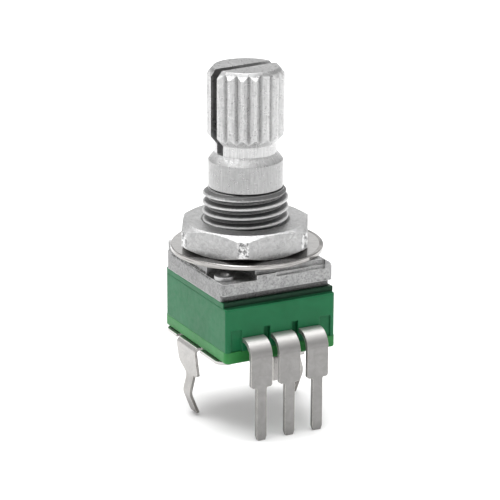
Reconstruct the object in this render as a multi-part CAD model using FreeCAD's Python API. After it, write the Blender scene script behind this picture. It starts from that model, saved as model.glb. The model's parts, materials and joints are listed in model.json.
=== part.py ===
import FreeCAD, Part
import math
import os

# Rotary encoder for a printed circuit board: threaded 7 mm bushing, knurled 6 mm shaft, square body.
# Millimetres. The origin is on the shaft's axis, in the top face of the casting that a panel rests on.
# +Z runs up the shaft, +X to the right and +Y to the back; the three terminals are at the front.

# --- shaft ---
SHAFT_R = 3.0
SHAFT_TOP = 15.0
SHAFT_TOP_R = 2.6
TOP_CHAMFER = 0.56
KNURL_BOTTOM = 9.6
KNURL_R = 3.08
KNURL_TEETH = 18
KNURL_DEPTH = 0.33
KNURL_GROOVE_SHARE = 0.88
NECK_R = 2.5
NECK_TOP = 8.92
NECK_BOTTOM = 8.1
COLLAR_CHAMFER_BOTTOM = 7.45
COLLAR_BOTTOM = 5.3
JOURNAL_R = 2.5
CLIP_GROOVE_R = 2.0
LAND_BOTTOM = -1.98
DRIVE_R = 1.9
DRIVE_FLAT = 1.45
DRIVE_BOTTOM = -3.3
PILOT_R = 0.9
PILOT_BOTTOM = -5.6
SLOT_WIDTH = 0.86
SLOT_ANGLE = 7.5

# --- bushing and casting ---
THREAD_R = 3.45
THREAD_ROOT_R = 3.05
THREAD_PITCH = 0.75
THREAD_CREST_HALF = 0.08
THREAD_FLANK = math.tan(math.radians(30))
THREAD_PHASE = -116.8
BUSHING_TOP = 5.15
BUSHING_LEAD_IN = 0.5
BUSHING_TOP_R = 3.08
BEARING_GAP = 0.04
BODY_HALF_X = 4.88
CASTING_FRONT = -5.72
CASTING_BACK = 4.45
CASTING_STEP = -1.75
CASTING_BOTTOM = -2.3
CASTING_SET_BACK_FRONT = 0.38
CASTING_SET_BACK_RIGHT = 0.12
CASTING_CORNER_R = 0.25
CASTING_SHOULDER_R = 0.9
ROOF = -1.15
CAVITY_R = 4.05
NOTCH_DEPTH = 0.8
NOTCH_RIGHT = -1.92
NOTCH_BACK = -2.6
LEDGE_Z = -0.42
LEDGE_DEPTH = 0.3
LEDGE_RIGHT = 4.2
STEP_Z = -0.72
STEP_DEPTH = 0.12
STEP_LEFT = -0.2
PARTING_Z = -0.8
PARTING_STEP = 0.12

# --- nut and washer ---
NUT_FLATS = 10.0
NUT_HEIGHT = 2.1
NUT_CORNER_R = 5.58
NUT_CHAMFER_R = 4.88
NUT_ANGLE = 1.0
NUT_BORE_R = 3.15
NUT_COUNTERSINK = 0.42
THREAD_CLEARANCE = 0.04
WASHER_R = 6.15
WASHER_HOLE_R = 3.65
WASHER_T = 0.4
WASHER_EDGE = 0.06
WASHER_OFF_CENTRE = 0.14

# --- housing and bottom cover ---
HOUSING_FRONT = -6.2
HOUSING_BACK = 4.7
HOUSING_BOTTOM = -6.3
HOUSING_RIM_Z = -2.72
HOUSING_RIM_IN = 0.48
HOUSING_CORNER_R = 0.3
HOUSING_SHARP_CORNER_R = 0.2
HOUSING_EDGE_R = 0.1
FLOOR_TOP = -4.5
COVER_BOTTOM = -7.3
COVER_CORNER_R = 0.22
COVER_FRONT_CORNER_R = 0.45
COVER_EDGE_R = 0.2
BLOCK_TOP = -4.55
BLOCK_WIDTH = 1.96
CHANNEL_DEPTH = 0.4
SIDE_RECESS_DEPTH = 0.12
SIDE_RECESS_WIDTH = 0.95

# --- terminals ---
TERMINAL_PITCH = 2.5
TERMINAL_WIDTH = 1.86
TERMINAL_T = 0.35
TERMINAL_TOP = -5.2
TERMINAL_FACE = -7.75
TERMINAL_BEND_R = 1.0
TERMINAL_SHOULDER = -8.98
PIN_WIDTH = 0.87
PIN_TIP = -13.45
PIN_POINT = 0.22
TERMINAL_INNER_END = -3.6
WINDOW_BACK = -2.1

# --- mounting bracket ---
BRACKET_T = 0.25
LEG_FACE = 5.4
LEG_BEND_R = 0.2
LEG_WAIST = 5.08
LEG_WAIST_Z = -9.95
LEG_BOW = 5.47
LEG_BOW_Z = -11.45
LEG_TIP = 4.75
LEG_TIP_Z = -13.25
LEG_FRONT = -1.52
LEG_BACK = 1.75
LEG_SHOULDER = -9.8
LEG_CURVE_Z = -9.3
LEG_NARROW_FRONT = -0.75
LEG_NARROW_BACK = 0.4
LEG_STAGGER = 0.75
TAB_LEFT = -0.25
TAB_RIGHT = 1.6
TAB_Y = -5.4
TAB_BOTTOM = -9.6

# --- corner rivets ---
RIVET_X = 4.0
RIVET_FRONT_Y = -4.2
RIVET_R = 0.5
RIVET_HEAD_R = 0.82
RIVET_HEAD_T = 0.32
RIVET_FOOT_T = 0.2
RIVET_DIMPLE_R = 0.42

# --- pieces on the shaft inside the body, from the roof of the casting downward ---
THRUST_WASHER_TOP = -1.18
THRUST_WASHER_BOTTOM = -1.32
THRUST_WASHER_R = 3.3
CLIP_TOP = -1.34
CLIP_BOTTOM = -1.64
CLIP_R = 2.95
CLIP_OPENING = 1.5
SPRING_T = 0.15
SPRING_INNER_R = 3.35
SPRING_OUTER_R = 3.95
CLICK_PLATE_TOP = -2.08
CLICK_PLATE_T = 0.2
CLICK_PLATE_INNER_R = 2.7
CLICK_PLATE_OUTER_R = 3.72
CLICK_COUNT = 30
CLICK_RIDGE_HALF = 0.22
ROTOR_BOTTOM = -3.65
ROTOR_R = 3.82
CODE_DISC_T = 0.15
CODE_DISC_INNER_R = 1.3
CODE_DISC_OUTER_R = 3.6
CODE_RING_OUTER_R = 2.25
CODE_SPOKES = 15
CONTACT_T = 0.12
CONTACT_WIDTH = 0.7
CONTACT_GAP = 0.04

# --- fine shape of the casting, thread and nut ---
NOTCH_CORNER_R = 0.35
THREAD_CREST_Z = 2.61
NUT_CHAMFER_ANGLE = 30.0
NUT_MAJOR_GAP = 0.07

# --- fine shape of the terminals, and the windows they pass into ---
SHOULDER_R = 0.22
PIN_NECK_R = 0.12
WINDOW_FRONT = -4.75
WINDOW_MARGIN = 0.2

# --- bracket plate ---
LEG_ROOT = 3.6
TAB_ROOT = -4.4
PLATE_HALF_X = 5.12
PLATE_FRONT = -5.4
PLATE_BACK = 4.4
PLATE_CORNER_R = 0.7
RELIEF_WIDTH = 0.5
RELIEF_DEPTH = 0.4

# --- contact fingers, click ridges and spring leaves ---
CONTACT_BACK = -4.5
CONTACT_BEND = -3.5
CONTACT_TAIL = 0.4
CONTACT_TAIL_DROP = 0.2
CONTACT_REACH = {"a": 1.8, "common": 1.8, "b": 1.45}
CLICK_RIDGE_HEIGHT = 0.1
SPRING_LEAF_INNER_R = 3.58
SPRING_LEAF_ROOT = -1.35
SPRING_LEAF_BEND = -1.0
SPRING_LEAF_TAIL = 0.5

# --- play left between inner pieces that are pushed together ---
FIT_GAP = 0.03

V = FreeCAD.Vector
UP = V(0, 0, 1)


# ---------- helpers ----------

def box(x0, x1, y0, y1, z0, z1):
    return Part.makeBox(x1 - x0, y1 - y0, z1 - z0, V(x0, y0, z0))


def cylinder(r, z0, z1, x=0.0, y=0.0):
    return Part.makeCylinder(r, z1 - z0, V(x, y, z0))


def ring(r_in, r_out, z0, z1):
    return cylinder(r_out, z0, z1).cut(cylinder(r_in, z0 - 1, z1 + 1))


def joined(solids):
    """One solid from pieces that overlap or share faces."""
    whole = solids[0].multiFuse(solids[1:]) if len(solids) > 1 else solids[0]
    return whole.removeSplitter()


def revolve(profile):
    """The solid that a closed (radius, z) outline sweeps round the shaft's axis."""
    corners = [V(r, 0, z) for r, z in profile]
    return Part.Face(Part.makePolygon(corners + corners[:1])).revolve(V(0, 0, 0), UP, 360)


def turned(shape, degrees):
    copy = shape.copy()
    copy.rotate(V(0, 0, 0), UP, degrees)
    return copy


def around(shape, count, start=0.0):
    return [turned(shape, start + 360.0 * k / count) for k in range(count)]


def fillet_upright(shape, radius, test):
    """Rounds the vertical edges whose place (x, y) passes the test."""
    chosen = []
    for edge in shape.Edges:
        a = edge.Vertexes[0].Point
        b = edge.Vertexes[-1].Point
        upright = abs(a.z - b.z) > 1e-3 and math.hypot(a.x - b.x, a.y - b.y) < 1e-4
        if upright and test(a.x, a.y):
            chosen.append(edge)
    return shape.makeFillet(radius, chosen)


def round_rim(shape, radius, z, test):
    """Rounds the edges lying at height z whose middle passes the test."""
    chosen = []
    for edge in shape.Edges:
        low = edge.BoundBox
        if low.ZMax - low.ZMin < 1e-4 and abs(low.ZMin - z) < 1e-4:
            if test((low.XMin + low.XMax) / 2, (low.YMin + low.YMax) / 2):
                chosen.append(edge)
    return shape.makeFillet(radius, chosen)


def chamfer_rim(shape, size, z, radius):
    """Chamfers the circular edges of the given radius at height z."""
    chosen = []
    for edge in shape.Edges:
        r = getattr(edge.Curve, "Radius", 0)
        level = abs(edge.BoundBox.ZMin - z) < 1e-3 and abs(edge.BoundBox.ZMax - z) < 1e-3
        if level and abs(r - radius) < 1e-3:
            chosen.append(edge)
    return shape.makeChamfer(size, chosen)


# ---------- flat outlines with rounded corners ----------

def unit(ax, ay, bx, by):
    length = math.hypot(bx - ax, by - ay)
    return (bx - ax) / length, (by - ay) / length


def offset_left(points, distance):
    """The open polyline moved sideways, to the left of its own direction."""
    steps = [unit(*a, *b) for a, b in zip(points, points[1:])]
    moved = [(points[0][0] - steps[0][1] * distance, points[0][1] + steps[0][0] * distance)]
    for point, before, after in zip(points[1:-1], steps, steps[1:]):
        scale = distance / (1 + before[0] * after[0] + before[1] * after[1])
        nx = -(before[1] + after[1]) * scale
        ny = (before[0] + after[0]) * scale
        moved.append((point[0] + nx, point[1] + ny))
    last = points[-1]
    moved.append((last[0] - steps[-1][1] * distance, last[1] + steps[-1][0] * distance))
    return moved


def turn_sign(a, b, c):
    cross = (b[0] - a[0]) * (c[1] - b[1]) - (b[1] - a[1]) * (c[0] - b[0])
    return 1 if cross > 0 else -1


def rounded_path(points, radii, place):
    """Edges along an open polyline, with a tangent arc of radii[i] at its inner point i."""
    edges = []
    start = points[0]
    for a, b, c, radius in zip(points, points[1:], points[2:], radii):
        ux, uy = unit(*b, *a)
        vx, vy = unit(*b, *c)
        half = math.acos(max(-1.0, min(1.0, ux * vx + uy * vy))) / 2
        back = radius / math.tan(half)
        enter = (b[0] + ux * back, b[1] + uy * back)
        leave = (b[0] + vx * back, b[1] + vy * back)
        wx, wy = unit(0, 0, ux + vx, uy + vy)
        reach = radius / math.sin(half) - radius
        middle = (b[0] + wx * reach, b[1] + wy * reach)
        edges.append(Part.LineSegment(place(*start), place(*enter)).toShape())
        edges.append(Part.Arc(place(*enter), place(*middle), place(*leave)).toShape())
        start = leave
    edges.append(Part.LineSegment(place(*start), place(*points[-1])).toShape())
    return edges


def plate_outline(points, radii, place, along):
    """A closed outline, its corners rounded, as a solid of the thickness and direction of along."""
    ends = points[0], points[-1]
    middle = ((ends[0][0] + ends[1][0]) / 2, (ends[0][1] + ends[1][1]) / 2)
    edges = rounded_path([middle] + points + [middle], radii, place)
    return Part.Face(Part.Wire(edges)).extrude(along)


def bent_strip(points, radii, thickness, place, along):
    """Sheet metal bent along points; its other face lies to the left of the path."""
    inner_points = offset_left(points, thickness)
    inner_radii = []
    for a, b, c, radius in zip(points, points[1:], points[2:], radii):
        inner_radii.append(radius - thickness * turn_sign(a, b, c))
    edges = rounded_path(points, radii, place)
    edges += rounded_path(inner_points, inner_radii, place)
    edges.append(Part.LineSegment(place(*points[0]), place(*inner_points[0])).toShape())
    edges.append(Part.LineSegment(place(*points[-1]), place(*inner_points[-1])).toShape())
    return Part.Face(Part.Wire(Part.__sortEdges__(edges))).extrude(along)


def side_plane(x):
    """Places a (y, z) outline in the plane at x."""
    return lambda y, z: V(x, y, z)


def front_plane(y):
    """Places an (x, z) outline in the plane at y."""
    return lambda x, z: V(x, y, z)


# ---------- shaft and what turns with it ----------

def knurl_groove():
    """The V-shaped prism that presses one groove along the knurl."""
    root = KNURL_R - KNURL_DEPTH
    outer = KNURL_R + KNURL_DEPTH
    half = 2 * KNURL_R * math.sin(math.pi / KNURL_TEETH * KNURL_GROOVE_SHARE)
    z0 = NECK_TOP - 0.1
    corners = [V(root, 0, z0), V(outer, -half, z0), V(outer, half, z0), V(root, 0, z0)]
    return Part.Face(Part.makePolygon(corners)).extrude(V(0, 0, SHAFT_TOP + 1 - z0))


def drive_flats(gap=0.0):
    """The two blocks beside the shaft's flattened end."""
    y = DRIVE_FLAT + gap
    block = box(-JOURNAL_R - 1, JOURNAL_R + 1, y, JOURNAL_R + 1, DRIVE_BOTTOM, LAND_BOTTOM)
    return block.fuse(block.mirror(V(0, 0, 0), V(0, 1, 0)))


def make_shaft():
    shaft = revolve([
        (0, PILOT_BOTTOM), (PILOT_R, PILOT_BOTTOM), (PILOT_R, DRIVE_BOTTOM),
        (DRIVE_R, DRIVE_BOTTOM), (DRIVE_R, LAND_BOTTOM), (JOURNAL_R, LAND_BOTTOM),
        (JOURNAL_R, CLIP_BOTTOM), (CLIP_GROOVE_R, CLIP_BOTTOM), (CLIP_GROOVE_R, CLIP_TOP),
        (JOURNAL_R, CLIP_TOP), (JOURNAL_R, COLLAR_BOTTOM), (SHAFT_R, COLLAR_BOTTOM),
        (SHAFT_R, COLLAR_CHAMFER_BOTTOM), (NECK_R, NECK_BOTTOM), (NECK_R, NECK_TOP),
        (KNURL_R, KNURL_BOTTOM), (KNURL_R, SHAFT_TOP - TOP_CHAMFER), (SHAFT_TOP_R, SHAFT_TOP),
        (0, SHAFT_TOP),
    ])
    grooves = around(knurl_groove(), KNURL_TEETH, SLOT_ANGLE)
    slot = box(-SHAFT_R - 1, SHAFT_R + 1, -SLOT_WIDTH / 2, SLOT_WIDTH / 2, NECK_BOTTOM, SHAFT_TOP + 1)
    return shaft.cut(grooves + [turned(slot, SLOT_ANGLE), drive_flats()])


def make_thrust_washer():
    return ring(JOURNAL_R + FIT_GAP, THRUST_WASHER_R, THRUST_WASHER_BOTTOM, THRUST_WASHER_TOP)


def make_retaining_clip():
    clip = ring(CLIP_GROOVE_R, CLIP_R, CLIP_BOTTOM, CLIP_TOP)
    mouth = box(0, CLIP_R + 1, -CLIP_OPENING / 2, CLIP_OPENING / 2, CLIP_BOTTOM - 1, CLIP_TOP + 1)
    return clip.cut(mouth)


def make_click_plate():
    """A ring with one radial ridge for every click."""
    bottom = CLICK_PLATE_TOP - CLICK_PLATE_T
    plate = ring(CLICK_PLATE_INNER_R, CLICK_PLATE_OUTER_R, bottom, CLICK_PLATE_TOP)
    x = CLICK_PLATE_INNER_R + 0.05
    root_z = CLICK_PLATE_TOP - CLICK_RIDGE_HEIGHT
    corners = [V(x, -CLICK_RIDGE_HALF, root_z), V(x, CLICK_RIDGE_HALF, root_z),
               V(x, 0, CLICK_PLATE_TOP + CLICK_RIDGE_HEIGHT)]
    length = CLICK_PLATE_OUTER_R - CLICK_PLATE_INNER_R - 0.1
    ridge = Part.Face(Part.makePolygon(corners + corners[:1])).extrude(V(length, 0, 0))
    return joined([plate] + around(ridge, CLICK_COUNT))


def make_code_disc():
    """The common ring, with one spoke for every pulse."""
    top = ROTOR_BOTTOM + CODE_DISC_T
    hub = ring(CODE_DISC_INNER_R, CODE_RING_OUTER_R, ROTOR_BOTTOM, top)
    spoke_angle = 180.0 / CODE_SPOKES
    corners = [V(CODE_RING_OUTER_R - 0.1, 0, ROTOR_BOTTOM), V(CODE_DISC_OUTER_R, 0, ROTOR_BOTTOM),
               V(CODE_DISC_OUTER_R, 0, top), V(CODE_RING_OUTER_R - 0.1, 0, top)]
    face = Part.Face(Part.makePolygon(corners + corners[:1]))
    spoke = face.revolve(V(0, 0, 0), UP, spoke_angle)
    return joined([hub] + around(spoke, CODE_SPOKES))


def make_rotor(code_disc):
    """The moulded disc on the shaft's flats, with the code disc let into its underside."""
    top = CLICK_PLATE_TOP - CLICK_PLATE_T
    rotor = cylinder(ROTOR_R, ROTOR_BOTTOM, top)
    bore = cylinder(DRIVE_R, DRIVE_BOTTOM, top + 1).cut(drive_flats())
    pilot_hole = cylinder(PILOT_R + FIT_GAP, ROTOR_BOTTOM - 1, DRIVE_BOTTOM + 0.1)
    return rotor.cut([bore, pilot_hole, code_disc])


# ---------- bushing casting ----------

def thread_sweep(profile, z0, z1):
    """A (radius, height) outline swept along the right-hand thread, heights from the crest line."""
    helix = Part.makeLongHelix(THREAD_PITCH, z1 - z0, THREAD_R)
    outline = [V(r, 0, h) for r, h in profile]
    wire = Part.makePolygon(outline + outline[:1])
    sweep = Part.Wire(helix.Edges).makePipeShell([wire], True, True)
    sweep.rotate(V(0, 0, 0), UP, THREAD_PHASE)
    sweep.translate(V(0, 0, z0))
    return sweep


def crest_half_height(r):
    """Half the height of the bushing's thread ridge at radius r."""
    return THREAD_CREST_HALF + (THREAD_R - r) * THREAD_FLANK


def external_groove():
    """What the die cuts from the bushing: the space between the turns of the ridge."""
    outer = THREAD_R + 0.15
    half_in = THREAD_PITCH / 2 - crest_half_height(THREAD_ROOT_R)
    half_out = THREAD_PITCH / 2 - crest_half_height(outer)
    profile = [(THREAD_ROOT_R, -half_in), (outer, -half_out), (outer, half_out), (THREAD_ROOT_R, half_in)]
    z0 = THREAD_CREST_Z - THREAD_PITCH * 3.5
    return thread_sweep(profile, z0, BUSHING_TOP + 2 * THREAD_PITCH)


def internal_groove():
    """What the tap cuts from the nut: the bushing's ridge with the fit's clearance round it."""
    inner = NUT_BORE_R - 0.05
    outer = THREAD_R + NUT_MAJOR_GAP
    half_in = crest_half_height(inner) + THREAD_CLEARANCE
    half_out = crest_half_height(outer) + THREAD_CLEARANCE
    profile = [(inner, -half_in), (outer, -half_out), (outer, half_out), (inner, half_in)]
    z0 = THREAD_CREST_Z - THREAD_PITCH * 4
    return thread_sweep(profile, z0, WASHER_T + NUT_HEIGHT + 2 * THREAD_PITCH)


def make_bushing():
    tube = revolve([
        (0, ROOF), (THREAD_R, ROOF), (THREAD_R, BUSHING_TOP - BUSHING_LEAD_IN),
        (BUSHING_TOP_R, BUSHING_TOP), (0, BUSHING_TOP),
    ])
    return tube.cut(external_groove())


def make_casting_block():
    """The square part of the casting, with its stepped edges and the pocket at one corner."""
    x = BODY_HALF_X
    plate = box(-x, x, CASTING_FRONT, CASTING_BACK, CASTING_STEP, 0)
    plate = fillet_upright(plate, CASTING_CORNER_R, lambda px, py: True)
    shoulder = box(x - CASTING_SHOULDER_R, x + 1, CASTING_FRONT - 1, CASTING_BACK + 1,
                   -CASTING_SHOULDER_R, 1)
    barrel = Part.makeCylinder(CASTING_SHOULDER_R, CASTING_BACK - CASTING_FRONT + 2,
                               V(x - CASTING_SHOULDER_R, CASTING_FRONT - 1, -CASTING_SHOULDER_R), V(0, 1, 0))
    foot = box(-x, x - CASTING_SET_BACK_RIGHT, CASTING_FRONT + CASTING_SET_BACK_FRONT, CASTING_BACK,
               CASTING_BOTTOM, CASTING_STEP)
    foot = fillet_upright(foot, CASTING_CORNER_R, lambda px, py: True)
    ledge = box(NOTCH_RIGHT, LEDGE_RIGHT, CASTING_FRONT - 1, CASTING_FRONT + LEDGE_DEPTH, LEDGE_Z, 1)
    step = box(STEP_LEFT, LEDGE_RIGHT, CASTING_FRONT - 1, CASTING_FRONT + STEP_DEPTH, STEP_Z, 1)
    notch = box(-x - 1, NOTCH_RIGHT, CASTING_FRONT - 1, NOTCH_BACK, -NOTCH_DEPTH, 1)
    notch = fillet_upright(notch, NOTCH_CORNER_R, lambda px, py: px > -x and py > CASTING_FRONT)
    parting = box(-x - 1, -x + PARTING_STEP, CASTING_FRONT - 1, CASTING_BACK + 1, PARTING_Z, 1)
    cuts = [shoulder.cut(barrel), ledge, step, parting, notch, to_other_corner(notch)]
    return plate.fuse(foot).removeSplitter().cut(cuts)


def to_other_corner(shape):
    """The same shape at the diagonally opposite corner of the casting."""
    copy = turned(shape, 180)
    copy.translate(V(0, CASTING_FRONT + CASTING_BACK, 0))
    return copy


def rivet_holes(z0, z1):
    hole = cylinder(RIVET_R, z0, z1, -RIVET_X, RIVET_FRONT_Y)
    return [hole, to_other_corner(hole)]


def make_bushing_casting():
    casting = make_casting_block().fuse(make_bushing())
    cavity = cylinder(CAVITY_R, CASTING_BOTTOM - 1, ROOF)
    bore = cylinder(JOURNAL_R + BEARING_GAP, ROOF - 1, BUSHING_TOP + 1)
    return casting.cut([cavity, bore] + rivet_holes(CASTING_BOTTOM - 1, 1)).removeSplitter()


# ---------- nut and washer ----------

def make_hex_nut():
    z0 = WASHER_T
    z1 = WASHER_T + NUT_HEIGHT
    corner = NUT_FLATS / math.sqrt(3)
    points = []
    for k in range(6):
        angle = math.radians(NUT_ANGLE + 60 * k)
        points.append(V(corner * math.cos(angle), corner * math.sin(angle), z0))
    prism = Part.Face(Part.makePolygon(points + points[:1])).extrude(V(0, 0, NUT_HEIGHT))
    drop = (NUT_CORNER_R - NUT_CHAMFER_R) * math.tan(math.radians(NUT_CHAMFER_ANGLE))
    drum = revolve([
        (0, z0), (NUT_CHAMFER_R, z0), (NUT_CORNER_R, z0 + drop), (NUT_CORNER_R, z1 - drop),
        (NUT_CHAMFER_R, z1), (0, z1),
    ])
    nut = prism.common(drum).cut(cylinder(NUT_BORE_R, z0 - 1, z1 + 1)).cut(internal_groove())
    mouth_r = NUT_BORE_R + NUT_COUNTERSINK
    for face, inward in ((z0, 1), (z1, -1)):
        sink = revolve([(0, face + inward * mouth_r), (mouth_r + 1, face - inward), (0, face - inward)])
        nut = nut.cut(sink)
    return nut


def make_flat_washer():
    """The loose washer, lying to the right as far as its hole allows."""
    washer = ring(WASHER_HOLE_R, WASHER_R, 0, WASHER_T)
    washer = chamfer_rim(washer, WASHER_EDGE, WASHER_T, WASHER_R)
    washer = chamfer_rim(washer, WASHER_EDGE, 0, WASHER_R)
    washer.translate(V(WASHER_OFF_CENTRE, 0, 0))
    return washer


# ---------- terminals and contacts ----------

def terminal_places():
    return {
        "a": -TERMINAL_PITCH,
        "common": 0.0,
        "b": TERMINAL_PITCH,
    }


def make_terminal(x):
    """A strip out of the housing's front, bent down, narrowed at the shoulder to a pin."""
    half = TERMINAL_WIDTH / 2
    path = [(TERMINAL_INNER_END, TERMINAL_TOP), (TERMINAL_FACE, TERMINAL_TOP), (TERMINAL_FACE, PIN_TIP)]
    strip = bent_strip(path, [TERMINAL_BEND_R + TERMINAL_T], TERMINAL_T,
                       side_plane(x - half), V(TERMINAL_WIDTH, 0, 0))
    pin = PIN_WIDTH / 2
    top = TERMINAL_TOP + 1
    neck = TERMINAL_SHOULDER
    right_side = [(half, top), (half, neck), (pin, neck - 0.02), (pin, PIN_TIP + PIN_POINT * 1.6),
                  (pin - PIN_POINT * 0.6, PIN_TIP)]
    left_side = [(-px, pz) for px, pz in reversed(right_side)]
    radii = [0.05, SHOULDER_R, PIN_NECK_R, 0.05, 0.04]
    place = front_plane(TERMINAL_FACE - 1)
    mask = plate_outline([(x + px, pz) for px, pz in right_side + left_side], radii + radii[::-1],
                         place, V(0, TERMINAL_INNER_END - TERMINAL_FACE + 2, 0))
    return strip.common(mask)


def make_contact(x, reach):
    """A springy finger on the inner end of a terminal, bent up to the code disc at y = -reach."""
    tip = ROTOR_BOTTOM - CONTACT_GAP - CONTACT_T
    path = [(CONTACT_BACK, TERMINAL_TOP), (CONTACT_BEND, TERMINAL_TOP), (-reach, tip),
            (-reach + CONTACT_TAIL, tip - CONTACT_TAIL_DROP)]
    return bent_strip(path, [0.3, 0.2], CONTACT_T, side_plane(x - CONTACT_WIDTH / 2),
                      V(CONTACT_WIDTH, 0, 0))


# ---------- housing and bottom cover ----------

def body_prism(z0, z1, radius, front_left_radius):
    """A slab of the square body, with its own radius on the corner at the front left."""
    x = BODY_HALF_X
    prism = box(-x, x, HOUSING_FRONT, HOUSING_BACK, z0, z1)
    prism = fillet_upright(prism, front_left_radius, lambda px, py: px < 0 and py < 0)
    return fillet_upright(prism, radius, lambda px, py: px == x or py == HOUSING_BACK)


def front_recesses():
    """The channels between the terminal blocks, and the shallow steps beside the outer ones."""
    cuts = []
    reach = TERMINAL_PITCH + BLOCK_WIDTH / 2
    for side in (-1, 1):
        inner = side * (TERMINAL_PITCH - BLOCK_WIDTH / 2)
        x0, x1 = sorted((inner, side * BLOCK_WIDTH / 2))
        cuts.append(box(x0, x1, HOUSING_FRONT - 1, HOUSING_FRONT + CHANNEL_DEPTH,
                        HOUSING_BOTTOM - 1, BLOCK_TOP))
        x0, x1 = sorted((side * reach, side * (reach + SIDE_RECESS_WIDTH)))
        cuts.append(box(x0, x1, HOUSING_FRONT - 1, HOUSING_FRONT + SIDE_RECESS_DEPTH,
                        HOUSING_BOTTOM - 1, BLOCK_TOP))
    return cuts


def make_housing(terminals):
    x = BODY_HALF_X
    radii = HOUSING_CORNER_R, HOUSING_SHARP_CORNER_R
    lower = body_prism(HOUSING_BOTTOM, HOUSING_RIM_Z, *radii)
    lower = round_rim(lower, HOUSING_EDGE_R, HOUSING_RIM_Z,
                      lambda px, py: py < HOUSING_FRONT + HOUSING_RIM_IN)
    housing = lower.fuse(body_prism(HOUSING_RIM_Z, CASTING_BOTTOM, *radii))
    rim = box(-x - 1, x + 1, HOUSING_FRONT - 1, HOUSING_FRONT + HOUSING_RIM_IN, HOUSING_RIM_Z, 0)
    cavity = cylinder(CAVITY_R, FLOOR_TOP, 0)
    bearing = cylinder(PILOT_R + BEARING_GAP, PILOT_BOTTOM - 0.1, FLOOR_TOP + 1)
    windows = []
    for place in terminal_places().values():
        half = CONTACT_WIDTH / 2 + WINDOW_MARGIN
        windows.append(box(place - half, place + half, WINDOW_FRONT, WINDOW_BACK,
                           HOUSING_BOTTOM - 1, FLOOR_TOP + 0.5))
    cuts = [rim, cavity, bearing] + windows + front_recesses()
    cuts += rivet_holes(HOUSING_BOTTOM - 1, 0) + terminals
    return housing.cut(cuts).removeSplitter()


def make_bottom_cover():
    cover = body_prism(COVER_BOTTOM, HOUSING_BOTTOM, COVER_CORNER_R, COVER_FRONT_CORNER_R)
    cover = round_rim(cover, COVER_EDGE_R, COVER_BOTTOM, lambda px, py: True)
    return cover.cut(rivet_holes(COVER_BOTTOM - 1, 0))


# ---------- bracket and rivets ----------

def bracket_leg():
    """The left snap leg: a wide strip off the plate's edge, narrowed and bowed below the board."""
    path = [(-LEG_ROOT, COVER_BOTTOM), (-LEG_FACE, COVER_BOTTOM), (-LEG_WAIST, LEG_WAIST_Z),
            (-LEG_BOW, LEG_BOW_Z), (-LEG_TIP, LEG_TIP_Z)]
    strip = bent_strip(path, [LEG_BEND_R + BRACKET_T, 1.2, 1.0], BRACKET_T, front_plane(LEG_FRONT),
                       V(0, LEG_BACK - LEG_FRONT, 0))
    top = COVER_BOTTOM + 1
    bottom = LEG_TIP_Z - 1
    outline = [(LEG_FRONT, top), (LEG_FRONT, LEG_SHOULDER), (LEG_NARROW_FRONT, LEG_SHOULDER - 0.15),
               (LEG_NARROW_FRONT, bottom), (LEG_NARROW_BACK, bottom),
               (LEG_NARROW_BACK, LEG_SHOULDER - 0.3), (LEG_BACK, LEG_CURVE_Z), (LEG_BACK, top)]
    radii = [0.1, 0.2, 0.12, 0.1, 0.1, 0.6, 1.0, 0.1]
    mask = plate_outline(outline, radii, side_plane(-LEG_FACE - 1), V(LEG_FACE - LEG_ROOT + 2, 0, 0))
    return strip.common(mask)


def relief_notches():
    """The two small notches in the plate's left edge, beside the root of the leg."""
    x = -PLATE_HALF_X
    notches = []
    for y in (LEG_FRONT - RELIEF_WIDTH, LEG_BACK):
        notches.append(box(x - 1, x + RELIEF_DEPTH, y, y + RELIEF_WIDTH, COVER_BOTTOM - 1, COVER_BOTTOM + 1))
    return notches


def on_right_side(shape):
    """A left-hand shape mirrored to the right side, which sits a little further back."""
    copy = shape.mirror(V(0, 0, 0), V(1, 0, 0))
    copy.translate(V(0, LEG_STAGGER, 0))
    return copy


def bracket_tab():
    """The stand-off tab bent down from the plate's front edge."""
    path = [(TAB_ROOT, COVER_BOTTOM), (TAB_Y, COVER_BOTTOM), (TAB_Y, TAB_BOTTOM)]
    return bent_strip(path, [LEG_BEND_R + BRACKET_T], BRACKET_T, side_plane(TAB_LEFT),
                      V(TAB_RIGHT - TAB_LEFT, 0, 0))


def make_mounting_bracket():
    bottom = COVER_BOTTOM - BRACKET_T
    plate = box(-PLATE_HALF_X, PLATE_HALF_X, PLATE_FRONT, PLATE_BACK, bottom, COVER_BOTTOM)
    plate = fillet_upright(plate, PLATE_CORNER_R, lambda px, py: True)
    notches = relief_notches()
    plate = plate.cut(notches + [on_right_side(notch) for notch in notches])
    leg = bracket_leg()
    return joined([plate, leg, on_right_side(leg), bracket_tab()]).cut(rivet_holes(bottom - 1, 0))


def make_corner_rivets():
    """Two hollow-headed rivets that hold casting, housing, cover and bracket together."""
    x = -RIVET_X
    y = RIVET_FRONT_Y
    seat = -NOTCH_DEPTH
    bottom = COVER_BOTTOM - BRACKET_T
    shank = cylinder(RIVET_R, bottom, seat, x, y)
    head = cylinder(RIVET_HEAD_R, seat, seat + RIVET_HEAD_T, x, y)
    foot = cylinder(RIVET_HEAD_R, bottom - RIVET_FOOT_T, bottom, x, y)
    dimple = Part.makeCone(RIVET_DIMPLE_R / 2, RIVET_DIMPLE_R, RIVET_HEAD_T, V(x, y, seat))
    rivet = joined([shank, head, foot]).cut(dimple)
    return Part.makeCompound([rivet, to_other_corner(rivet)])


# ---------- detent spring ----------

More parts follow.
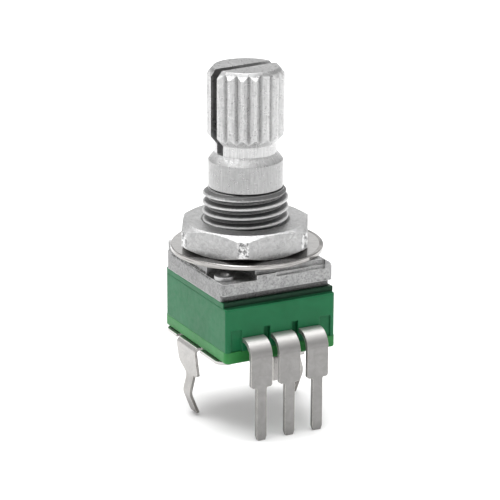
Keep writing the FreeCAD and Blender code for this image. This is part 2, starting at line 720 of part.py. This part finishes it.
def make_detent_spring():
    """A flat ring under the casting's roof, with two leaves that press on the click plate."""
    flat = ring(SPRING_INNER_R, SPRING_OUTER_R, ROOF - SPRING_T, ROOF)
    tip = CLICK_PLATE_TOP + CLICK_RIDGE_HEIGHT + CONTACT_GAP
    path = [(SPRING_LEAF_ROOT, ROOF - SPRING_T), (SPRING_LEAF_BEND, ROOF - SPRING_T), (0, tip),
            (SPRING_LEAF_TAIL, tip + 0.25)]
    leaf = bent_strip(path, [0.4, 0.3], SPRING_T, side_plane(SPRING_LEAF_INNER_R),
                      V(SPRING_OUTER_R - SPRING_LEAF_INNER_R, 0, 0))
    gap = box(SPRING_LEAF_INNER_R - 0.08, SPRING_OUTER_R + 1, SPRING_LEAF_BEND,
              SPRING_LEAF_TAIL + 0.2, ROOF - 1, ROOF + 1)
    flat = flat.cut(around(gap, 2))
    leaves = [piece.common(cylinder(SPRING_OUTER_R, ROOF - 2, ROOF)) for piece in around(leaf, 2)]
    return joined([flat] + leaves)


# ---------- writing the pieces ----------

def make_parts():
    places = terminal_places()
    terminals = {name: make_terminal(x) for name, x in places.items()}
    code_disc = make_code_disc()
    parts = {
        "shaft": make_shaft(),
        "thrust_washer": make_thrust_washer(),
        "retaining_clip": make_retaining_clip(),
        "click_plate": make_click_plate(),
        "code_disc": code_disc,
        "rotor": make_rotor(code_disc),
        "bushing_casting": make_bushing_casting(),
        "hex_nut": make_hex_nut(),
        "flat_washer": make_flat_washer(),
        "housing": make_housing(list(terminals.values())),
        "bottom_cover": make_bottom_cover(),
        "mounting_bracket": make_mounting_bracket(),
        "corner_rivets": make_corner_rivets(),
        "detent_spring": make_detent_spring(),
    }
    for name, x in places.items():
        parts["terminal_" + name] = terminals[name]
        parts["contact_" + name] = make_contact(x, CONTACT_REACH[name])
    return parts


def main():
    os.makedirs("parts", exist_ok=True)
    for name, shape in make_parts().items():
        shape.exportStep("parts/" + name + ".step")
        low = shape.BoundBox
        print("%-18s valid=%s solids=%d volume=%.2f z=%.2f..%.2f" % (
            name, shape.isValid(), len(shape.Solids), shape.Volume, low.ZMin, low.ZMax))


main()
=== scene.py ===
import json
import math

import bpy
from mathutils import Matrix, Vector


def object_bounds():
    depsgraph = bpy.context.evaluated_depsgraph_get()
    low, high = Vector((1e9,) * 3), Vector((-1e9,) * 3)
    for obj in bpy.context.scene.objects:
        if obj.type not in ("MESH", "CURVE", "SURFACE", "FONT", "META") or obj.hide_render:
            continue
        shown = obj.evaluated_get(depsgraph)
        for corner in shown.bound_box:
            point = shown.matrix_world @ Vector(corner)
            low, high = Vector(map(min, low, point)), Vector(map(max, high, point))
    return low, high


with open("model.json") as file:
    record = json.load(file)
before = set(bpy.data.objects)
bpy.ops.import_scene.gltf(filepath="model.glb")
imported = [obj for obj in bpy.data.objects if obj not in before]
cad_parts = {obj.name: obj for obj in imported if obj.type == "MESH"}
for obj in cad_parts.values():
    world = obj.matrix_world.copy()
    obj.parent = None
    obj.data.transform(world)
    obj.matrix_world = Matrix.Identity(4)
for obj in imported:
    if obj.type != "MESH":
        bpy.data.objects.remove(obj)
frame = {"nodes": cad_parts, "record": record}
cad_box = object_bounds()

MM = 0.001
NODES = frame["nodes"]

# ---------- camera ----------
CAMERA_AZIMUTH = -27.4
CAMERA_ELEVATION = 17.9
CAMERA_ROLL = 0.19
CAMERA_DISTANCE = 202.0 * MM
CAMERA_LENS = 180.5
CAMERA_SHIFT_Y = 0.0025
AIM = Vector((0.42 * MM, 0.0, -0.40 * MM))


def direction(azimuth, elevation):
    """From the object towards a viewer: azimuth 0 is the front, negative is round to the left."""
    a = math.radians(azimuth)
    e = math.radians(elevation)
    return Vector((math.sin(a) * math.cos(e), -math.cos(a) * math.cos(e), math.sin(e)))


def look_from(thing, place, aim, roll=0.0):
    thing.location = place
    thing.rotation_mode = "QUATERNION"
    turn = (aim - place).to_track_quat("-Z", "Y").to_matrix()
    thing.rotation_quaternion = (turn @ Matrix.Rotation(math.radians(roll), 3, "Z")).to_quaternion()


def make_camera():
    data = bpy.data.cameras.new("camera")
    data.sensor_width = 36.0
    data.lens = CAMERA_LENS
    data.shift_y = CAMERA_SHIFT_Y
    data.clip_start = 10.0 * MM
    data.clip_end = 10.0
    camera = bpy.data.objects.new("camera", data)
    bpy.context.scene.collection.objects.link(camera)
    look_from(camera, AIM + direction(CAMERA_AZIMUTH, CAMERA_ELEVATION) * CAMERA_DISTANCE, AIM, CAMERA_ROLL)
    bpy.context.scene.camera = camera


# ---------- shader helpers ----------

class Shader:
    """A node material, built one node at a time. Lengths in its textures are in millimetres."""

    # The Mix node repeats its sockets for each data type: these are the ones for colours.
    MIX_A = 6
    MIX_B = 7
    MIX_RESULT = 2

    def __init__(self, name):
        self.material = bpy.data.materials.new(name)
        self.material.use_nodes = True
        self.tree = self.material.node_tree
        self.surface = self.tree.nodes["Principled BSDF"]
        self.mm = self.scaled_position()

    def node(self, kind, inputs=None, **settings):
        made = self.tree.nodes.new(kind)
        for key, value in settings.items():
            setattr(made, key, value)
        for key, value in (inputs or {}).items():
            self.feed(made.inputs[key], value)
        return made

    def feed(self, socket, value):
        if isinstance(value, bpy.types.NodeSocket):
            self.tree.links.new(value, socket)
        else:
            socket.default_value = value

    def scaled_position(self):
        place = self.node("ShaderNodeTexCoord").outputs["Object"]
        return self.node("ShaderNodeVectorMath", {0: place, "Scale": 1.0 / MM}, operation="SCALE").outputs[0]

    def math(self, operation, a, b):
        return self.node("ShaderNodeMath", {0: a, 1: b}, operation=operation).outputs[0]

    def times(self, a, b):
        return self.math("MULTIPLY", a, b)

    def axis(self, name):
        return self.node("ShaderNodeSeparateXYZ", {0: self.mm}).outputs[name]

    def cylinder_position(self, round_scale, up_scale):
        """Position round the shaft's axis: the arc, the height and the radius, each to its own scale."""
        x, y, z = self.axis("X"), self.axis("Y"), self.axis("Z")
        angle = self.math("ARCTAN2", y, x)
        return self.node("ShaderNodeCombineXYZ", {
            0: self.times(angle, round_scale),
            1: self.times(z, up_scale),
            2: self.cylinder_radius(),
        }).outputs[0]

    def cylinder_radius(self):
        """Distance from the shaft's axis."""
        flat = self.node("ShaderNodeCombineXYZ", {0: self.axis("X"), 1: self.axis("Y")}).outputs[0]
        return self.node("ShaderNodeVectorMath", {0: flat}, operation="LENGTH").outputs["Value"]

    def noise(self, scale, detail=3.0, roughness=0.5, vector=None, distortion=0.0):
        return self.node("ShaderNodeTexNoise", {
            "Vector": self.mm if vector is None else vector,
            "Scale": scale,
            "Detail": detail,
            "Roughness": roughness,
            "Distortion": distortion,
        }).outputs["Fac"]

    def ramp(self, value, low, high, to_low=0.0, to_high=1.0):
        return self.node("ShaderNodeMapRange", {
            "Value": value, "From Min": low, "From Max": high, "To Min": to_low, "To Max": to_high,
        }).outputs["Result"]

    def band(self, value, low, high, soft):
        """1 between low and high, fading to 0 over the distance soft beyond each."""
        rise = self.ramp(value, low - soft, low)
        fall = self.ramp(value, high + soft, high)
        return self.times(rise, fall)

    def mix(self, factor, a, b, blend="MIX"):
        """Colour a where the factor is 0 and b where it is 1."""
        made = self.node("ShaderNodeMix", data_type="RGBA", blend_type=blend)
        self.feed(made.inputs["Factor"], factor)
        self.feed(made.inputs[self.MIX_A], a)
        self.feed(made.inputs[self.MIX_B], b)
        return made.outputs[self.MIX_RESULT]

    def rounded(self, radius_mm):
        """A surface normal that rounds off sharp edges, as stamping and moulding leave them."""
        return self.node("ShaderNodeBevel", {"Radius": radius_mm * MM}, samples=4).outputs[0]

    def bump(self, height, depth_mm, normal):
        return self.node("ShaderNodeBump", {
            "Height": height, "Distance": depth_mm * MM, "Strength": 1.0, "Normal": normal,
        }).outputs[0]

    def set(self, **values):
        names = {
            "color": "Base Color", "metallic": "Metallic", "roughness": "Roughness", "normal": "Normal",
            "specular": "Specular IOR Level", "subsurface": "Subsurface Weight",
            "subsurface_scale": "Subsurface Scale", "subsurface_radius": "Subsurface Radius",
        }
        for key, value in values.items():
            self.feed(self.surface.inputs[names[key]], value)


def grey(value, warm=0.0):
    return (value * (1 + warm), value, value * (1 - warm), 1.0)


# ---------- materials ----------

# Heights and radii of the part, in millimetres from the panel seat and the shaft's axis.
SHAFT_END = 15.0
COLLAR_TOP = 7.4
NECK_START = 7.9
KNURL_START = 9.6
FLUTE_CREST = 2.88
FLUTE_FLOOR = 2.78
THREAD_FLOOR = 3.26
THREAD_CREST = 3.40
CASTING_SIDE = -4.80
BODY_SIDE = -4.86
FOOT_TOP = -1.75
HOUSING_SEAM = -2.73
PARTING_LINE = (-0.95, -0.72)
FLASH_RUN = (-3.6, 3.2)
NUT_HEIGHTS = (0.5, 2.15)
NUT_CORNER = (5.50, 5.56)
WASHER_RIM = (5.90, 5.97)


def edge_wear(shader, radius_mm):
    """Near 1 on sharp outer edges, 0 on flats, from how far the rounded normal leans away."""
    flat = shader.node("ShaderNodeNewGeometry").outputs["Normal"]
    round_off = shader.rounded(radius_mm)
    lean = shader.node("ShaderNodeVectorMath", {0: round_off, 1: flat}, operation="DOT_PRODUCT")
    return shader.ramp(lean.outputs["Value"], 0.995, 0.86)


def turned_aluminium():
    """Satin aluminium, darker on the plain collar, speckled on the pressed knurl, with painted shade in the
    knurl's flute floors and a painted highlight on the end face.
    """
    s = Shader("turned_aluminium")
    height = s.axis("Z")
    lines = s.noise(1.0, 4.0, 0.6, s.cylinder_position(28.0, 0.7))
    speckle = s.noise(5.5, 5.0, 0.8)
    pits = s.ramp(speckle, 0.43, 0.36)
    above_collar = s.ramp(height, COLLAR_TOP, NECK_START)
    on_knurl = s.ramp(height, KNURL_START - 0.5, KNURL_START)
    bright = s.mix(s.ramp(lines, 0.3, 0.7), grey(0.48), grey(0.66))
    shade = s.mix(above_collar, s.mix(1.0, bright, grey(0.68), "MULTIPLY"), bright)
    # Painted highlight: the end face is painted lighter, standing in for its bright reflection of the
    # backdrop.
    with_top_highlight = s.mix(s.ramp(height, SHAFT_END - 0.15, SHAFT_END - 0.05), shade, grey(0.74))
    color = s.mix(s.times(pits, s.ramp(on_knurl, 0.0, 1.0, 0.3, 0.8)), with_top_highlight, grey(0.16))
    # Painted shade: the knurl's flute floors are painted darker, where shade falls in the grooves.
    flute_shade = s.ramp(s.cylinder_radius(), FLUTE_CREST, FLUTE_FLOOR)
    shaded = s.mix(s.times(flute_shade, s.times(on_knurl, 0.7)), color, grey(0.22))
    worn = s.mix(s.times(edge_wear(s, 0.05), 0.6), shaded, grey(0.85))
    rough = s.ramp(s.noise(3.0, 4.0), 0.3, 0.7, 0.24, 0.38)
    relief = s.math("ADD", s.times(lines, 0.7), speckle)
    s.set(color=worn, metallic=1.0, roughness=rough, normal=s.bump(relief, 0.035, s.rounded(0.04)))
    return s.material


def torn_flash(shader):
    """Ragged dark flecks along the die's parting line, low on the casting's left face."""
    torn = shader.ramp(shader.noise(3.4, 5.0, 0.7), 0.45, 0.49)
    level = shader.band(shader.axis("Z"), *PARTING_LINE, 0.12)
    run = shader.band(shader.axis("Y"), *FLASH_RUN, 0.6)
    left_face = shader.ramp(shader.axis("X"), -4.68, -4.74)
    return shader.times(shader.times(torn, level), shader.times(run, left_face))


def zinc_casting():
    """Die-cast zinc: mottled grey with dark flecks, painted shade on the set-back foot and the left face,
    painted shade in the thread's grooves and a painted highlight on its crests.
    """
    s = Shader("zinc_casting")
    grain = s.noise(6.0, 5.0, 0.8)
    blotch = s.noise(0.9, 3.0, 0.6)
    flecks = s.ramp(s.noise(4.0, 5.0, 0.8, distortion=0.6), 0.42, 0.36)
    shade = s.mix(s.ramp(blotch, 0.35, 0.65), grey(0.40), grey(0.49))
    # Painted shade: the set-back foot under the flange is painted dark, where the flange shades it.
    below_foot = s.ramp(s.axis("Z"), FOOT_TOP + 0.02, FOOT_TOP - 0.03)
    on_foot = s.times(below_foot, s.ramp(s.axis("X"), BODY_SIDE, CASTING_SIDE))
    with_foot_shade = s.mix(s.times(on_foot, 0.75), shade, grey(0.14))
    # Painted shade: the casting's left face below the seat is painted darker, for the shade that falls on
    # that side.
    below_seat = s.ramp(s.axis("Z"), -0.05, -0.12)
    on_left = s.times(s.ramp(s.axis("X"), CASTING_SIDE + 0.10, CASTING_SIDE), below_seat)
    with_left_shade = s.mix(s.times(on_left, 0.45), with_foot_shade, grey(0.20))
    mottled = s.mix(s.ramp(grain, 0.42, 0.58), s.mix(1.0, with_left_shade, grey(0.62), "MULTIPLY"), with_left_shade)
    flecked = s.mix(s.times(flecks, 0.85), mottled, grey(0.07))
    flashed = s.mix(torn_flash(s), flecked, grey(0.04))
    radius = s.cylinder_radius()
    # Painted shade and highlight: the thread is painted dark in its grooves and light on its crests, with a
    # ragged noisy boundary.
    on_thread = s.times(s.ramp(s.axis("Z"), 0.2, 0.5), s.ramp(radius, 3.9, 3.7))
    jittered_radius = s.math("ADD", radius, s.ramp(grain, 0.3, 0.7, -0.07, 0.07))
    thread = s.mix(s.ramp(jittered_radius, THREAD_FLOOR, THREAD_CREST), grey(0.13), grey(0.62))
    color = s.mix(on_thread, flashed, thread)
    worn = s.mix(edge_wear(s, 0.08), color, grey(0.66))
    rough = s.ramp(s.noise(4.0, 5.0, 0.6), 0.3, 0.7, 0.30, 0.48)
    s.set(color=worn, metallic=1.0, roughness=rough, normal=s.bump(grain, 0.07, s.rounded(0.08)))
    return s.material


def plated_nut():
    """Dull nickel plating with scratches, darker blotches towards the bottom of the flats and bare worn
    corners.
    """
    s = Shader("nickel_plated_nut")
    grain = s.noise(6.0, 5.0, 0.7)
    smear = s.noise(1.6, 6.0, 0.7, distortion=1.5)
    swirl = s.noise(1.2, 6.0, 0.8, distortion=4.0)
    line = s.times(s.ramp(swirl, 0.485, 0.50), s.ramp(swirl, 0.515, 0.50))
    shade = s.mix(s.ramp(smear, 0.38, 0.64), grey(0.37), grey(0.51))
    marked = s.mix(s.times(line, 0.45), shade, grey(0.16))
    speck = s.ramp(s.noise(4.5, 6.0, 0.8), 0.37, 0.31)
    specked = s.mix(s.times(speck, 0.8), marked, grey(0.08))
    # Darker blotches, denser and darker towards the bottom of the nut.
    low_down = s.ramp(s.axis("Z"), 1.0, 0.5)
    low_blotches = s.ramp(s.math("ADD", grain, s.times(low_down, 0.2)), 0.56, 0.66)
    darker_low = s.mix(s.times(low_blotches, s.times(low_down, 0.75)), specked, grey(0.14))
    wear = s.times(edge_wear(s, 0.07), s.ramp(smear, 0.35, 0.6, 0.2, 1.0))
    worn = s.mix(wear, darker_low, grey(0.85))
    facet = s.times(s.ramp(s.cylinder_radius(), *NUT_CORNER), s.band(s.axis("Z"), *NUT_HEIGHTS, 0.1))
    chewed = s.mix(s.ramp(s.noise(3.2, 5.0, 0.8), 0.44, 0.56), grey(0.10), grey(0.80))
    cornered = s.mix(s.times(facet, 0.8), worn, chewed)
    rough = s.ramp(grain, 0.3, 0.7, 0.24, 0.40)
    s.set(color=cornered, metallic=1.0, roughness=rough, normal=s.bump(grain, 0.05, s.rounded(0.12)))
    return s.material


def plated_washer():
    """Bright nickel, dragged round by the nut, with a dull layered rim where the punch tore it."""
    s = Shader("nickel_plated_washer")
    grain = s.noise(10.0, 4.0, 0.6)
    drag = s.noise(1.0, 4.0, 0.6, s.cylinder_position(60.0, 1.5))
    shade = s.mix(s.ramp(drag, 0.35, 0.65), grey(0.48, 0.015), grey(0.60, 0.02))
    layers = s.ramp(s.noise(1.0, 3.0, 0.6, s.cylinder_position(3.0, 22.0)), 0.4, 0.6)
    rim = s.mix(layers, grey(0.20, 0.03), grey(0.44, 0.03))
    face = s.mix(edge_wear(s, 0.03), shade, grey(0.6, 0.02))
    worn = s.mix(s.ramp(s.cylinder_radius(), *WASHER_RIM), face, rim)
    rough = s.ramp(grain, 0.3, 0.7, 0.12, 0.22)
    s.set(color=worn, metallic=1.0, roughness=rough, normal=s.bump(drag, 0.012, s.rounded(0.05)))
    return s.material


def green_plastic(name, low, high, rough_low, rough_high, scatter):
    """Moulded thermoplastic: faint flow marks, a fine spark-eroded grain, soft edges, painted shade on the
    rim above the seam.
    """
    s = Shader(name)
    flow = s.noise(0.35, 3.0, 0.5, distortion=1.0)
    grain = s.noise(14.0, 4.0, 0.6)
    moulded = s.mix(s.ramp(flow, 0.3, 0.7), low, high)
    # Painted shade: above the housing seam, away from the left face, the rim under the casting is painted
    # near-black green where shade falls.
    above_seam = s.ramp(s.axis("Z"), HOUSING_SEAM - 0.03, HOUSING_SEAM + 0.03)
    seam = s.times(above_seam, s.ramp(s.axis("X"), BODY_SIDE, CASTING_SIDE))
    color = s.mix(s.times(seam, 0.8), moulded, (0.001, 0.012, 0.006, 1))
    rough = s.ramp(s.noise(2.0, 4.0), 0.3, 0.7, rough_low, rough_high)
    s.set(color=color, roughness=rough, normal=s.bump(grain, 0.008, s.rounded(0.14)),
          subsurface=scatter, subsurface_scale=0.4 * MM, subsurface_radius=(0.3, 1.0, 0.4), specular=0.2)
    return s.material


def tin_plate(name, dark, light, rough_low, rough_high, bend_z, shade_below_z):
    """Matt tin on stamped strip: faint grain, a painted highlight on the top and bend above bend_z and
    painted shade on the low ends below the second given height.
    """
    s = Shader(name)
    grain = s.noise(16.0, 4.0, 0.65)
    smear = s.noise(1.3, 4.0, 0.6, distortion=0.8)
    shade = s.mix(s.ramp(smear, 0.3, 0.7), dark, light)
    # Painted highlight: the top and bend are painted lighter where they catch the light.
    with_bend_highlight = s.mix(s.ramp(s.axis("Z"), bend_z - 0.7, bend_z), shade, grey(0.50, 0.02))
    # Painted shade: the lower ends are painted darker where they face the floor's shadow.
    with_low_shade = s.mix(s.ramp(s.axis("Z"), shade_below_z, shade_below_z - 0.8, 0.0, 0.8), with_bend_highlight, grey(0.16, 0.06))
    worn = s.mix(edge_wear(s, 0.05), with_low_shade, (0.80, 0.77, 0.72, 1.0))
    rough = s.ramp(grain, 0.3, 0.7, rough_low, rough_high)
    s.set(color=worn, metallic=1.0, roughness=rough, normal=s.bump(grain, 0.010, s.rounded(0.05)))
    return s.material


def plain_metal(name, color_low, color_high, rough):
    """A hidden or nearly hidden metal piece: fine grain in colour, gloss and relief."""
    s = Shader(name)
    grain = s.noise(8.0, 4.0, 0.6)
    s.set(color=s.mix(s.ramp(grain, 0.3, 0.7), color_low, color_high), metallic=1.0,
          roughness=s.ramp(grain, 0.3, 0.7, rough, rough + 0.15),
          normal=s.bump(grain, 0.008, s.rounded(0.03)))
    return s.material


def plain_plastic(name, color_low, color_high, rough):
    """A hidden plastic piece: fine grain in colour, gloss and relief."""
    s = Shader(name)
    grain = s.noise(10.0, 4.0, 0.6)
    s.set(color=s.mix(s.ramp(grain, 0.3, 0.7), color_low, color_high),
          roughness=s.ramp(grain, 0.3, 0.7, rough, rough + 0.15),
          normal=s.bump(grain, 0.008, s.rounded(0.05)))
    return s.material


def make_materials():
    housing_green = green_plastic("green_housing", (0.006, 0.125, 0.044, 1), (0.009, 0.150, 0.056, 1),
                                  0.34, 0.46, 0.0)
    cover_green = green_plastic("light_green_cover", (0.025, 0.19, 0.045, 1), (0.035, 0.24, 0.06, 1),
                                0.3, 0.42, 0.1)
    return {
        "turned_aluminium": turned_aluminium(),
        "zinc_casting": zinc_casting(),
        "nickel_plated_nut": plated_nut(),
        "nickel_plated_washer": plated_washer(),
        "green_housing": housing_green,
        "light_green_cover": cover_green,
        "tinned_terminal": tin_plate("tinned_terminal", grey(0.25, 0.02), grey(0.31, 0.02),
                                     0.42, 0.55, -5.75, -14.0),
        "tinned_steel": tin_plate("tinned_steel", grey(0.31, 0.03), grey(0.40, 0.03),
                                  0.24, 0.36, -7.2, -11.6),
        "rivet_metal": plain_metal("rivet_metal", grey(0.35), grey(0.5), 0.3),
        "contact_bronze": plain_metal("contact_bronze", (0.60, 0.40, 0.22, 1), (0.74, 0.52, 0.30, 1), 0.22),
        "spring_bronze": plain_metal("spring_bronze", (0.58, 0.40, 0.24, 1), (0.70, 0.50, 0.32, 1), 0.25),
        "click_steel": plain_metal("click_steel", grey(0.45), grey(0.58), 0.25),
        "clip_steel": plain_metal("clip_steel", grey(0.22), grey(0.34), 0.3),
        "plated_code_disc": plain_metal("plated_code_disc", (0.70, 0.55, 0.25, 1),
                                        (0.84, 0.68, 0.36, 1), 0.2),
        "rotor_plastic": plain_plastic("rotor_plastic", (0.012, 0.012, 0.013, 1),
                                       (0.022, 0.022, 0.024, 1), 0.4),
        "washer_polyester": plain_plastic("washer_polyester", (0.60, 0.58, 0.50, 1),
                                          (0.70, 0.68, 0.60, 1), 0.4),
    }


def dress_frame(materials):
    """Gives every carried-over piece the material that its slot in the record names."""
    slots = {part["node"]: part["material_slot"] for part in frame["record"]["subparts"]}
    for name, thing in NODES.items():
        thing.data.materials.clear()
        thing.data.materials.append(materials[slots[name]])


# ---------- studio ----------

BACKDROP_AZIMUTH = 160.0
BACKDROP_ELEVATION = 50.0
BACKDROP_BRIGHTNESS = 0.85
BACKDROP_FADE = 0.55
ROOM_BRIGHTNESS = 0.15
SOFTBOX_SIZE = 0.46
SOFTBOX_POWER = 3.2
SOFTBOX_AZIMUTH = -172.0
SOFTBOX_ELEVATION = 81.0
SOFTBOX_DISTANCE = 0.45
FLOOR_HALF = 1.5


def make_softbox():
    data = bpy.data.lights.new("overhead", "AREA")
    data.shape = "SQUARE"
    data.size = SOFTBOX_SIZE
    data.energy = SOFTBOX_POWER
    light = bpy.data.objects.new("overhead", data)
    bpy.context.scene.collection.objects.link(light)
    place = direction(SOFTBOX_AZIMUTH, SOFTBOX_ELEVATION) * SOFTBOX_DISTANCE
    look_from(light, place, Vector((0, 0, 0)))


def make_world():
    """A bright backdrop behind the object, fading to a dim room on the viewer's side."""
    world = bpy.data.worlds.new("studio")
    world.use_nodes = True
    tree = world.node_tree
    place = tree.nodes.new("ShaderNodeTexCoord")
    toward = tree.nodes.new("ShaderNodeVectorMath")
    toward.operation = "DOT_PRODUCT"
    toward.inputs[1].default_value = direction(BACKDROP_AZIMUTH, BACKDROP_ELEVATION)
    fade = tree.nodes.new("ShaderNodeMapRange")
    fade.interpolation_type = "SMOOTHSTEP"
    fade.inputs["From Min"].default_value = -BACKDROP_FADE
    fade.inputs["From Max"].default_value = BACKDROP_FADE
    fade.inputs["To Min"].default_value = ROOM_BRIGHTNESS
    fade.inputs["To Max"].default_value = BACKDROP_BRIGHTNESS
    tree.links.new(place.outputs["Generated"], toward.inputs[0])
    tree.links.new(toward.outputs["Value"], fade.inputs["Value"])
    tree.links.new(fade.outputs["Result"], tree.nodes["Background"].inputs["Strength"])
    tree.nodes["Background"].inputs["Color"].default_value = (1.0, 1.0, 1.0, 1.0)
    bpy.context.scene.world = world


def make_floor(level):
    half = FLOOR_HALF
    mesh = bpy.data.meshes.new("floor")
    corners = [(-half, -half, level), (half, -half, level), (half, half, level), (-half, half, level)]
    mesh.from_pydata(corners, [], [(0, 1, 2, 3)])
    floor = bpy.data.objects.new("floor", mesh)
    bpy.context.scene.collection.objects.link(floor)
    s = Shader("floor_paper")
    s.set(color=s.mix(s.noise(0.2), grey(0.90), grey(0.93)), roughness=0.9, specular=0.1)
    mesh.materials.append(s.material)


def make_studio():
    make_world()
    make_floor(cad_box[0].z)
    make_softbox()
    bpy.context.scene.view_settings.view_transform = "Standard"


make_camera()
make_studio()
dress_frame(make_materials())
